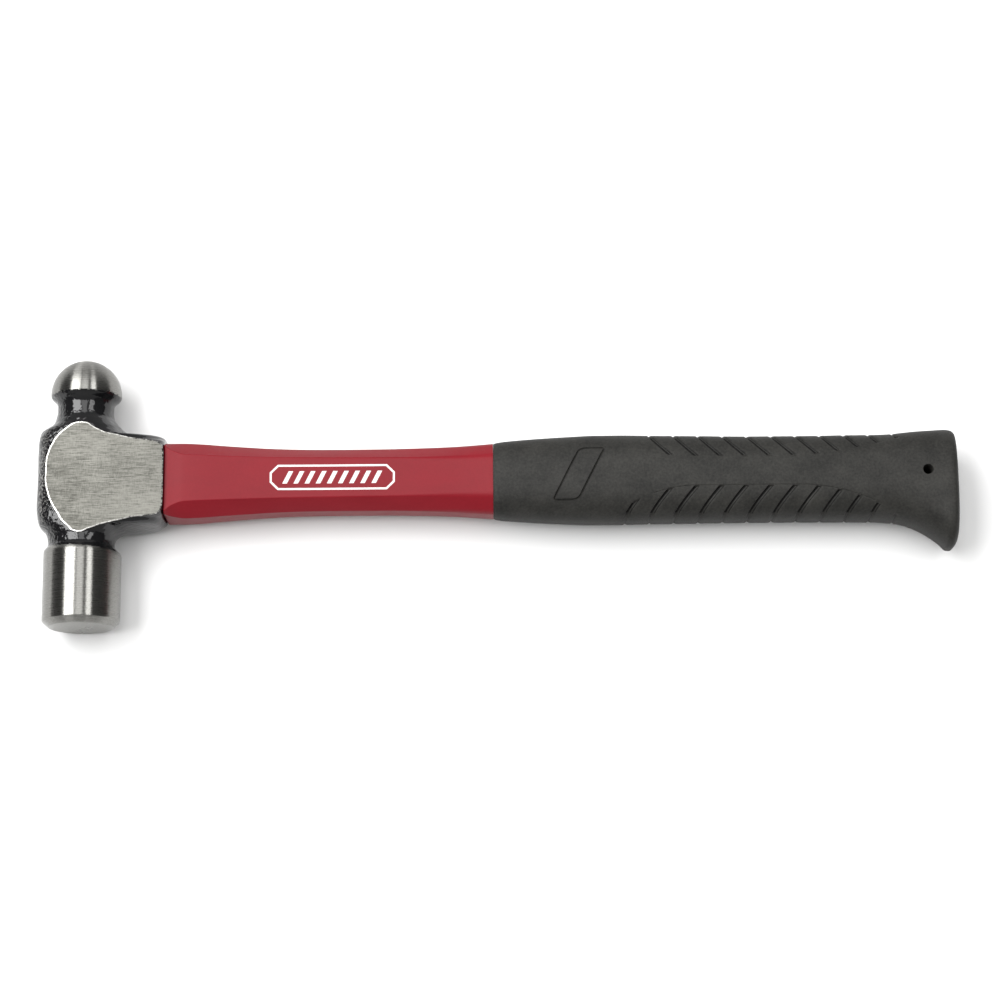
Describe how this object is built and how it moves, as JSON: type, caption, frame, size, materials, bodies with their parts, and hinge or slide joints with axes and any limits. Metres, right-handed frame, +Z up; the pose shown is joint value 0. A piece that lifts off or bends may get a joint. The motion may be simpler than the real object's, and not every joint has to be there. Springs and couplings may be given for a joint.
{
  "type": "ball peen hammer",
  "caption": "Ball peen hammer with a forged steel head, a red jacketed fibreglass handle and a black rubber grip with a flared, drilled butt.",
  "frame": {"origin": "centre of the bounding box in X and Y, on the surface that the hammer lies on", "axes": "+X along the handle to the butt, +Y to the ball, -Y to the striking face, +Z up out of the upper cheek"},
  "size_m": [0.3484, 0.104, 0.0293],
  "materials": {
    "head_steel": "ball and poll polished, cheeks ground, necks lacquered black",
    "eye_bond": "cured resin",
    "fibreglass": "cut end of a pultruded rod",
    "jacket_red": "satin moulded plastic",
    "grip_black": "fine matte texture"
  },
  "bodies": {
    "root": {"hammer_head": "head_steel", "eye_epoxy": "eye_bond", "handle_core": "fibreglass", "handle_jacket": "jacket_red", "grip": "grip_black"}
  },
  "joints": []
}
